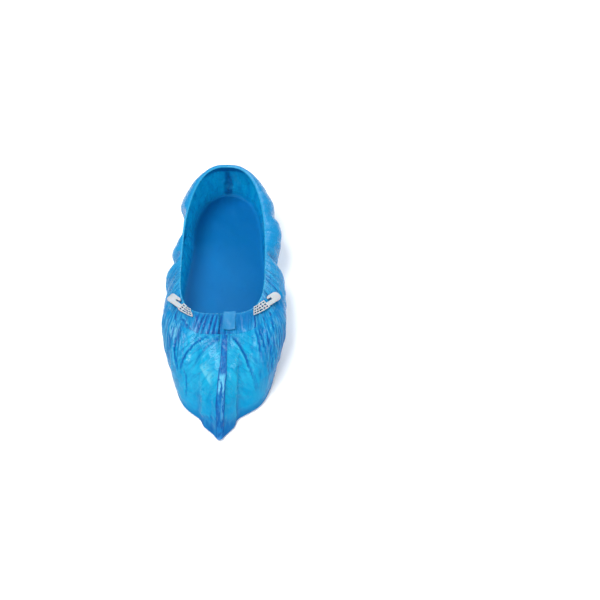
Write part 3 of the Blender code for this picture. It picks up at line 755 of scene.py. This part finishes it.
def grain_and_crinkle(shader, position, crinkle=1.0, where=1.0, under=None):
    """Embossed grain under soft crinkles, as a normal."""
    values = {"Vector": position, "Scale": 900.0}
    grain = shader.number("ShaderNodeTexVoronoi", {"feature": "SMOOTH_F1"}, values)
    sharp = shader.lines(shader.stretched(position, (1.0, 0.34, 0.55)), 120.0, 2.0, 3.0, 0.7)
    soft = shader.noise(position, 46.0, 2.0, 0.5, 0.4)
    normal = shader.bump(soft * where, 0.0010 * crinkle, 0.6, under)
    normal = shader.bump(sharp**4 * where, 0.00050 * crinkle, 0.9, normal)
    return shader.bump(grain, 0.00004, 0.3, normal)


look = Shader("blue_film")
position = look.place()
sideways, along, height = (look.axis(position, k) for k in range(3))
cloudy = look.noise(position, 28.0, 3.0, 0.55, 0.4)
streaky = look.noise(position, 110.0, 4.0, 0.6, 1.4)
relief, crease, crest = (look.painted(name) for name in ("relief", "crease", "crest"))
ridges, groove_shade, glints = look.hanging_lines()

# masks of height, of the two sides, of the corner beyond the toe and of the tight cap behind it; the edge by
# the floor and the outer sides get painted shade, the right side more
edge = look.between(0.011, 0.002, height)
off_floor = look.between(0.004, 0.012, height)
upper = look.between(0.015, 0.022, height)
outer_right = look.between(0.046, 0.057, sideways) * look.between(-0.010, -0.040, along)
outer_left = look.between(-0.050, -0.060, sideways) * look.between(0.0, -0.040, along)
corner = look.between(-0.1365, -0.1430, along + 0.78 * height)
CAP_X, CAP_Y = -0.006, -0.098
CAP_WIDTH, CAP_LENGTH = 0.046, 0.042
cap_x, cap_y = (sideways - CAP_X) / CAP_WIDTH, (along - CAP_Y) / CAP_LENGTH
cap = 1 - look.between(0.55, 1.35, (cap_x * cap_x + cap_y * cap_y) ** 0.5)

# where the film is pulled tight over the cap, fine folds run down and out from the seam's top; their lines
# get painted shade, and other lines on the cap and in the corner painted highlights
SEAM_X = 0.003
TIGHT_TURN = -1.05
from_seam = sideways - SEAM_X
mirrored = look.node("ShaderNodeCombineXYZ", None, [from_seam.sum("ABSOLUTE", from_seam), along, height])
values = {0: mirrored.outputs[0], 3: TIGHT_TURN}
turned = look.node("ShaderNodeVectorRotate", {"rotation_type": "Z_AXIS"}, values)
slanting = look.stretched(turned.outputs[0], (1.0, 0.14, 0.5))
tight_lines = look.lines(slanting, 170.0, 8.0, 2.0, 0.4) * cap * upper
highlight_lines = look.lines(slanting, 130.0, 9.0, 2.0, 0.6) * cap * upper
tip_highlight_lines = look.lines(look.down_the_piece(DRAWN_OUT), 260.0, 10.0, 2.0, 1.4) * corner

# a painted highlight on one patch of the cap, sharp on its left side, measured from its upper left corner
PATCH_X, PATCH_Y = -0.02328, -0.10702
PATCH_TURN = math.radians(31.54)
from_x, from_y = sideways - PATCH_X, along - PATCH_Y
patch_across = from_x * math.cos(PATCH_TURN) + from_y * math.sin(PATCH_TURN)
patch_along = from_x * math.sin(PATCH_TURN) - from_y * math.cos(PATCH_TURN)
highlight_patch = look.between(-0.0006, 0.0010, patch_across) * look.between(0.0110, 0.0010, patch_across)
highlight_patch = highlight_patch * look.between(-0.002, 0.004, patch_along) * look.between(0.025, 0.017, patch_along)
highlight_patch = highlight_patch * look.between(0.30, 0.58, streaky) * upper

# painted light over the film's own blues: fold valleys, grooves, creases, the outer sides and the edge by the
# floor darkened as painted shade; ridges, crests, glints, fine lines and the patch lightened as painted
# highlights
look.colours(
    FILM_BLUE,
    (FILM_BRIGHT, cap * 0.8 + 0.5 * cloudy + 0.35 * relief - 0.1),
    (FILM_DEEP, corner * 0.6 + look.between(0.54, 0.74, streaky) * 0.25),
    (FILM_DEEP, (outer_right + 0.6 * outer_left) * 0.45 - relief * 0.8),
    (srgb(0, 76, 152), groove_shade * 0.75 + tight_lines * 0.30),
    (srgb(60, 180, 216), crest * 0.7 - crease + glints * 0.5 + (tip_highlight_lines + highlight_lines) * 0.35),
    (srgb(120, 204, 222), highlight_patch * 0.6),
    (srgb(130, 208, 226), glints * look.between(0.54, 0.70, cloudy) * 0.6),
    (srgb(0, 84, 158), crease * 0.85 + edge * 0.55),
)
look.feed("Roughness", 0.46 - 0.32 * off_floor + 0.14 * streaky + 0.08 * cap)
look.feed("Coat Weight", 0.12 * off_floor)
look.set(specular_ior_level=0.15, coat_roughness=0.06)
normal = look.bump(ridges + tight_lines * 0.4, 0.0014, 0.9)
normal = grain_and_crinkle(look, position, 1.0, off_floor * (1 - 0.45 * cap), normal)
look.feed("Normal", normal)
look.let_light_through(srgb(4, 150, 210), 0.26, normal)
film_mesh.materials.append(look.material)

# The hem. The film's top edge is folded out and down over the elastic and gathered by it, so it is two
# layers thick and a deeper blue, and it is puckered in many small pleats over the toe.

HEM_COLUMNS = 430
HEM_GAP = 0.0009
ROLL_RADIUS = 0.0012
ROLL_ANGLES = range(0, 181, 30)
OUTER_DEPTHS = np.array([23.0, 21.5, 19.5, 17.0, 14.5, 12.0, 9.5, 7.0, 5.0, 3.2, 1.8]) / 1000
INNER_DEPTHS = np.array([1.8, 3.2, 5.0, 6.5, 8.0]) / 1000
hem_form = Form(HEM_COLUMNS, np.concatenate([[0.0], OUTER_DEPTHS[::-1]]), [0.5, 1.0])
hem_lift = pleat_lift(hem_form.from_toe, hem_form.depth, hem_form.round_hem, pleats)


def hem_ring(depth, outside):
    """A ring of the hem at one depth below the film's edge, this far outside the film."""
    places = hem_form.depth[0, : len(OUTER_DEPTHS) + 1]
    row = float(np.interp(depth, places, np.arange(len(places))))
    lifted = at_row(hem_lift, row) + outside
    return at_row(hem_form.points, row) + at_row(hem_form.normal, row) * lifted[:, None]


rings = [hem_ring(depth, 0.0003 + HEM_GAP * float(near(depth, 0.026))) for depth in OUTER_DEPTHS]
top, roll_out = hem_ring(0.0, 0.0), hem_form.normal[:, 0]
roll_up = unit(np.array([0.0, 0.0, 1.0]) - roll_out * roll_out[:, 2:])
for turn in np.radians(ROLL_ANGLES):
    rings.append(top + roll_out * math.cos(turn) * ROLL_RADIUS + roll_up * math.sin(turn) * ROLL_RADIUS)
rings += [hem_ring(depth, -HEM_GAP) for depth in INNER_DEPTHS]
hem_grid = np.array(rings).transpose(1, 0, 2)[:, ::-1]
fray = 0.4 * np.sin(hem_form.from_toe * 340) * np.sin(hem_form.from_toe * 97 + 1)
hem_grid[:, -1] += (hem_grid[:, -1] - hem_grid[:, -2]) * fray[:, None]
hem_rows_down = np.arange(hem_grid.shape[1])
outs = np.repeat(hem_form.normal[:, :1], len(hem_rows_down), axis=1)
hem_relief = relief_of(hem_grid, outs, 12, 0.00022)
_, hem_dark, hem_light = fold_lift(hem_grid, outs)
hem_mesh = grid_mesh("hem", hem_grid, closed=True)
hem_mesh.flip_normals()
hem_piece = new_piece("hem", hem_mesh, "elastic_hem")
hem_finer = hem_piece.modifiers.new("finer", "SUBSURF")
hem_finer.levels = hem_finer.render_levels = 1
ROLL_ROW = 8.5
off_roll = 1 - bell(hem_rows_down - ROLL_ROW, 2.0)
beside_tab = smooth_step((np.abs(hem_form.from_toe - 0.004) - 0.026) / 0.016)
by_edge = np.clip(1.15 - np.abs(hem_rows_down - hem_rows_down[-1]) / 4.0, 0, 1)
by_place = np.argsort(form.from_toe)
hem_around = np.interp(hem_form.from_toe, form.from_toe[by_place], around[by_place], period=form.round_hem)
hem_down = np.concatenate([INNER_DEPTHS[::-1], np.zeros(len(ROLL_ANGLES)), OUTER_DEPTHS[::-1]])
lively = 0.15 + 0.85 * smooth_step((0.135 - np.abs(hem_form.from_toe)) / 0.055)
lively *= 1 - 0.75 * near(hem_form.from_toe - 0.024, 0.014)
# the painted layers mark the hem's pleat valleys and creases for painted shade and its ridges, crests and
# rolled top edge for painted highlights
paint(
    hem_mesh,
    hem_grid,
    relief=hem_relief * off_roll * lively[:, None],
    crease=hem_dark * off_roll,
    crest=hem_light * off_roll,
    roll=1 - off_roll,
    beside=np.maximum(beside_tab[:, None], 0.75 * by_edge),
    folded=lively[:, None],
    around=hem_around[:, None],
    down=hem_down,
)
look = Shader("hem_film")
position = look.place()
cloudy = look.noise(position, 60.0, 4.0, 0.6, 0.8)
streaky = look.noise(position, 210.0, 3.0, 0.6, 1.0)
names = ("relief", "roll", "beside", "crease", "crest")
relief, roll, beside_toe, crease, crest = (look.painted(name) for name in names)
ridges, groove_shade, glints = look.hanging_lines()
# over the hem's deep blue, lighter beside the tab and by its lower edge: painted highlights on pleat ridges,
# fold crests, glints and the rolled top edge, painted shade in pleat valleys, grooves and creases
look.colours(
    srgb(4, 106, 168),
    (FILM_BLUE, beside_toe * 0.9 + 0.25 * cloudy),
    (srgb(10, 138, 196), look.between(0.42, 0.72, cloudy) * 0.4 + relief * 0.5),
    (srgb(0, 70, 142), groove_shade * 0.6 - relief * 0.75 + crease * 0.7),
    (srgb(60, 174, 212), glints * 0.5 * beside_toe + roll * 0.6 + crest * 0.5 - crease),
)
look.feed("Roughness", 0.20 + 0.14 * streaky)
look.set(specular_ior_level=0.25, coat_weight=0.12, coat_roughness=0.1)
normal = grain_and_crinkle(look, position, 0.8, 1.0, look.bump(ridges, 0.0011, 0.9))
look.feed("Normal", normal)
look.let_light_through(srgb(6, 118, 184), 0.2, normal)
hem_mesh.materials.append(look.material)

# The elastic. A thin pale thread of rubber lies in the fold of the hem, all the way round, and draws the
# film in. It shows only as the smooth roll that it makes along the edge.

ELASTIC_RADIUS = 0.0005
ELASTIC_SIDES = 8
elastic_rings = []
for turn in np.linspace(0, 2 * math.pi, ELASTIC_SIDES + 1):
    elastic_rings.append(top + ELASTIC_RADIUS * (roll_out * math.cos(turn) + roll_up * math.sin(turn)))
elastic_mesh = grid_mesh("elastic", np.array(elastic_rings).transpose(1, 0, 2), closed=True)
new_piece("elastic", elastic_mesh, "elastic_cord")
look = Shader("elastic")
twist = look.noise(look.place(), 900.0, 2.0)
look.colours(srgb(190, 215, 228), (srgb(150, 186, 206), twist))
look.set(roughness=0.7)
elastic_mesh.materials.append(look.material)

# The toe seam. The two edges of the film are welded up the toe and the weld lies flat to one side as a
# narrow crinkled fin of two layers, from the hem's lower edge down to the tip.


def beside(ring, centre, distance):
    """The point of a closed ring that lies this far along it from a column, + towards the next."""
    ring = np.vstack([ring, ring[:1]])
    lengths = lengths_along(ring)
    place = (lengths[centre] + distance) % lengths[-1]
    return np.array([np.interp(place, lengths, ring[:, k]) for k in range(3)])


FIN_ROWS = 130
FIN_COLUMNS = 11
fin_across = np.linspace(-0.5, 0.5, FIN_COLUMNS)
fin_down = np.linspace(0, 1, FIN_ROWS)


def fin_grid(centre, shift):
    """The fin's points, row by row down the seam, with small crinkles across it."""
    phases = np.random.default_rng(centre + 5).uniform(0, 6.28, 8)
    first, last = hem_rows - 1.4, rows - 1.02
    grid = []
    for share in fin_down:
        row = first + (last - first) * share
        ring, out = at_row(film_points, row), at_row(form.normal, row)[centre]
        width = SEAM_WIDTH * (0.58 + 0.56 * smooth_step(share / 0.65) - 0.20 * share**4)
        width *= 1 + 0.06 * math.sin(share * 23 + phases[0])
        middle = shift * (1 - share) + 0.0005 * math.sin(share * 9 + phases[1])
        lively = 0.35 + 0.65 * bell(share - 0.62, 0.22)
        line = []
        for step in fin_across:
            crinkle = math.sin(share * 70 + step * 4 + phases[2]) * math.sin(share * 29 + phases[3])
            crinkle += 0.5 * math.sin(share * 120 - step * 6 + phases[4])
            free = 0.25 + 0.75 * (step + 0.5)
            rise = 0.0007 + 0.0010 * free**2 * lively + 0.00040 * crinkle * free * lively
            line.append(beside(ring, centre, middle + step * width) + unit(out) * rise)
        grid.append(line)
    return np.array(grid)


look = Shader("welded_film")
across_fin, down_fin = look.painted("around") / SEAM_WIDTH, look.painted("down")
hanging = look.down_the_piece(0.035)
patches = look.noise(hanging, 300.0, 3.0, 0.6, 1.0)
sides = look.between(0.26, 0.46, across_fin.sum("ABSOLUTE", across_fin))
fin_highlight = look.between(0.37, 0.42, down_fin) * look.between(0.58, 0.53, down_fin)
fin_streak_highlight = look.between(0.55, 0.60, down_fin) * look.between(0.86, 0.74, down_fin)
fin_streak_highlight = fin_streak_highlight * look.between(0.02, 0.16, across_fin) * look.between(0.44, 0.30, across_fin)
# painted highlights: a band across the fin's middle and a streak along one side; the fin is darker towards
# both edges
look.colours(
    srgb(0, 88, 158),
    (srgb(8, 126, 188), look.between(0.40, 0.66, patches)),
    (srgb(0, 74, 146), sides * 0.7),
    (srgb(92, 186, 220), fin_highlight * look.between(0.38, 0.52, patches) * (1 - sides)),
    (srgb(120, 196, 222), fin_streak_highlight * look.between(0.46, 0.62, patches) * 0.4),
)
look.feed("Roughness", 0.18 + 0.2 * patches)
look.set(specular_ior_level=0.2, coat_weight=0.1, coat_roughness=0.08)
normal = look.bump(look.lines(hanging, 420.0, 2.6, 2.0, 0.6), 0.0006, 0.8)
normal = grain_and_crinkle(look, look.place(), 0.7, 1.0, normal)
look.feed("Normal", normal)
look.let_light_through(srgb(6, 124, 190), 0.2, normal)
for name, node, centre, shift in (
    ("toe_fin", "toe_seam", 0, TOE_SEAM_SHIFT),
    ("heel_fin", "heel_seam", form.heel, 0.0),
):
    fin = fin_grid(centre, shift)
    fin_mesh = grid_mesh(name, fin, closed=False)
    paint(fin_mesh, fin, around=fin_across * SEAM_WIDTH, down=fin_down[:, None])
    fin_mesh.materials.append(look.material)
    new_piece(name, fin_mesh, node)

# The tab. A plain rectangle of film lies over the hem's joint above the toe, paler than the hem. It is
# buckled a little, and its sides stand off the hem towards its lower end.

tab_depths = np.linspace(-0.0026, 0.0188, 26)
tab_across = np.linspace(-0.5, 0.5, 15)
OUT_ROW = 4
tab_rows = []
for depth in tab_depths:
    ring = hem_ring(max(depth, 0.0), HEM_GAP + 0.0008)
    if depth < 0:
        ring = ring + roll_up * -depth + roll_out * depth * 0.2
    tab_rows.append([beside(ring, 0, TAB_SHIFT + step * TAB_WIDTH * 0.94) for step in tab_across])
tab_out = hem_form.normal[int(np.argmin(np.abs(hem_form.from_toe - TAB_SHIFT))), OUT_ROW]
buckle = 0.0005 * np.cos(tab_across * 7 + 0.6)[None, :] * np.sin(tab_depths * 290)[:, None]
buckle += 0.0009 * np.abs(tab_across[None, :] * 2) ** 3 * smooth_step(tab_depths / 0.019)[:, None]
tab_grid = np.array(tab_rows) + tab_out * (0.0006 + buckle)[..., None]
tab_mesh = grid_mesh("tab", tab_grid, closed=False)
new_piece("tab", tab_mesh, "front_tab")
look = Shader("tab_film")
position = look.place()
cloudy = look.noise(position, 90.0, 3.0, 0.5, 0.5)
look.colours(srgb(10, 98, 150), (srgb(20, 120, 170), cloudy))
look.feed("Roughness", 0.38 + 0.15 * cloudy)
look.set(specular_ior_level=0.35)
look.feed("Normal", grain_and_crinkle(look, position, 0.4))
tab_mesh.materials.append(look.material)

# The hooks. Each is one moulded piece of white plastic: a thin gridded pad pressed onto the hem's front
# corner, a neck, and a rounded flat head whose tip turns back, by which a dispenser holds the cover.

PAD_ROWS = 3
PAD_BAR = 0.0011
HOOK_THICKNESS = 0.0014
NECK_WIDTH = 0.0052
TIP_LENGTH = 0.0035
TIP_WIDTH = 0.0030
HOOK_LEAVES = 0.010
HOOK_RISE = 0.0030
fields = "name node side start below slant pad_length pad_width columns neck head_length head_width radius"
Hook = namedtuple("Hook", fields)
HOOKS = [Hook(*row) for row in [
    (
        "hook_right", "clip_right", 1, RIGHT_HOOK_START, 0.0044, 0.24,
        0.020, 0.0098, 5, 0.008, 0.011, 0.0105, 0.0046,
    ),
    (
        "hook_left", "clip_left", -1, LEFT_HOOK_START, 0.0038, 0.08,
        0.017, 0.0086, 4, 0.009, 0.010, 0.0098, 0.0026,
    ),
]]


def quarter(along, across, radius, start):
    turns = np.radians(np.linspace(start, start + 90, 9))
    return [(along + radius * math.cos(t), across + radius * math.sin(t)) for t in turns]


def bars(start, length, holes):
    """Where each bar of the pad starts and ends, with holes between the bars."""
    pitch = (length - PAD_BAR) / holes
    return [start + pitch * bar + side for bar in range(holes + 1) for side in (0.0, PAD_BAR)]


def hook_faces(hook):
    """The hook laid flat: the pad's bars round its holes, then the neck and the head."""
    along = bars(0.0, hook.pad_length, hook.columns)
    across = bars(-hook.pad_width / 2, hook.pad_width, PAD_ROWS)
    faces = []
    for i in range(len(along) - 1):
        for j in range(len(across) - 1):
            if i % 2 == 0 or j % 2 == 0:
                a, b, c, d = along[i], along[i + 1], across[j], across[j + 1]
                faces.append([(a, c), (b, c), (b, d), (a, d)])
    low = across[1]
    neck_end = hook.pad_length + hook.neck
    end, top_side, radius = neck_end + hook.head_length, low + hook.head_width, hook.radius
    joined = [level for level in across if low <= level <= low + NECK_WIDTH]
    head = [(hook.pad_length, level) for level in reversed(joined)]
    head += quarter(end - radius, low + radius, radius, -90)
    head += quarter(end - radius, top_side - radius, radius, 0)
    head += [(neck_end - TIP_LENGTH * 0.4, top_side), (neck_end - TIP_LENGTH, top_side - TIP_WIDTH * 0.5)]
    head += [(neck_end - TIP_LENGTH * 0.9, top_side - TIP_WIDTH)]
    head += [(neck_end + TIP_WIDTH * 0.3, top_side - TIP_WIDTH), (neck_end + TIP_WIDTH * 0.3, joined[-1])]
    faces.append(head)
    return faces


class HookSeat:
    """Bends a hook that is laid flat onto the hem's corner, from where it then runs straight."""

    def __init__(self, hook):
        self.hook = hook
        before, self.leaves = self.on_hem(HOOK_LEAVES - 0.002, 0, 0), self.on_hem(HOOK_LEAVES, 0, 0)
        self.run = unit(self.leaves - before)
        up = self.on_hem(HOOK_LEAVES, hook.pad_width / 2, 0) - self.leaves
        self.up = unit(up - self.run * (up @ self.run))
        self.out = np.cross(self.up, self.run) * -hook.side

    def on_hem(self, along, across, height):
        depth = self.hook.below - across + along * self.hook.slant
        ring = hem_ring(float(np.clip(depth, 0.0, 0.022)), 0.0)
        ring = ring + roll_up * max(-depth, 0.0)
        distance = self.hook.side * (self.hook.start + along)
        nearest = int(np.argmin(np.abs(hem_form.from_toe - distance)))
        return beside(ring, 0, distance) + hem_form.normal[nearest, OUT_ROW] * (HOOK_RISE + height)

    def place(self, along, across, height):
        if along <= HOOK_LEAVES:
            return self.on_hem(along, across, height)
        return self.leaves + self.run * (along - HOOK_LEAVES) + self.up * across + self.out * height


look = Shader("white_plastic")
position = look.place()
mottle = look.noise(position, 160.0, 3.0, 0.5)
look.colours(srgb(176, 178, 182), (srgb(140, 150, 158), mottle * 0.9))
look.feed("Roughness", 0.34 + 0.16 * mottle)
look.set(specular_ior_level=0.5, subsurface_weight=0.25, subsurface_scale=0.002)
look.feed("Normal", look.bump(look.noise(position, 700.0, 2.0), 0.00012, 0.5))
for hook in HOOKS:
    seat, shape, known = HookSeat(hook), bmesh.new(), {}
    for face in hook_faces(hook):
        corners = [(round(a, 6), round(b, 6)) for a, b in face]
        for corner in corners:
            if corner not in known:
                known[corner] = shape.verts.new(seat.place(*corner, 0.0))
        shape.faces.new([known[corner] for corner in corners])
    bmesh.ops.recalc_face_normals(shape, faces=shape.faces)
    hook_mesh = bpy.data.meshes.new(hook.name)
    shape.to_mesh(hook_mesh)
    shape.free()
    hook_mesh.materials.append(look.material)
    hook_piece = new_piece(hook.name, hook_mesh, hook.node)
    thick = hook_piece.modifiers.new("thick", "SOLIDIFY")
    thick.thickness = HOOK_THICKNESS
    thick.offset = 0
    soft = hook_piece.modifiers.new("soft edges", "BEVEL")
    soft.width, soft.segments, soft.limit_method = 0.00028, 2, "ANGLE"
    hook_mesh.shade_smooth()

# The floor, the light and the camera at the photo's angle.

floor_mesh = bpy.data.meshes.new("floor")
floor_mesh.from_pydata([(-4, -4, 0), (4, -4, 0), (4, 4, 0), (-4, 4, 0)], [], [(0, 1, 2, 3)])
floor = in_scene("floor", floor_mesh)
floor.location.z = -0.0004
look = Shader("pale_floor")
look.set(base_color=(0.93, 0.93, 0.93, 1), roughness=0.9, specular_ior_level=0.1)
floor_mesh.materials.append(look.material)

world = bpy.data.worlds.new("studio")
world.use_nodes = True
sky = world.node_tree.nodes["Background"].inputs
sky["Color"].default_value, sky["Strength"].default_value = (0.94, 0.97, 1.0, 1), 0.46
bpy.context.scene.world = world
for name, place, size, power in (
    ("key", (-0.42, -0.20, 1.48), 0.65, 22),
    ("sheen", (-0.45, -1.40, 1.08), 0.25, 8),
    ("fill", (1.1, -0.5, 1.1), 0.5, 8),
    ("back", (0.3, 1.3, 0.9), 0.7, 10),
):
    lamp_data = bpy.data.lights.new(name, "AREA")
    lamp_data.size, lamp_data.energy = size, power
    lamp = in_scene(name, lamp_data)
    lamp.location = place
    lamp.rotation_euler = (Vector((0, -0.03, 0.03)) - Vector(place)).to_track_quat("-Z", "Y").to_euler()

VIEW_HEIGHT = math.radians(52)
VIEW_FROM = 1.60
camera_data = bpy.data.cameras.new("camera")
camera_data.lens, camera_data.sensor_width = 88.32, 36.0
camera = in_scene("camera", camera_data)
aim = Vector((0.0788, 0.014, 0.0))
camera.location = aim + Vector((0, -math.cos(VIEW_HEIGHT), math.sin(VIEW_HEIGHT))) * VIEW_FROM
camera.rotation_euler = (aim - camera.location).to_track_quat("-Z", "Y").to_euler()
bpy.context.scene.camera = camera
bpy.context.scene.view_settings.view_transform = "Standard"
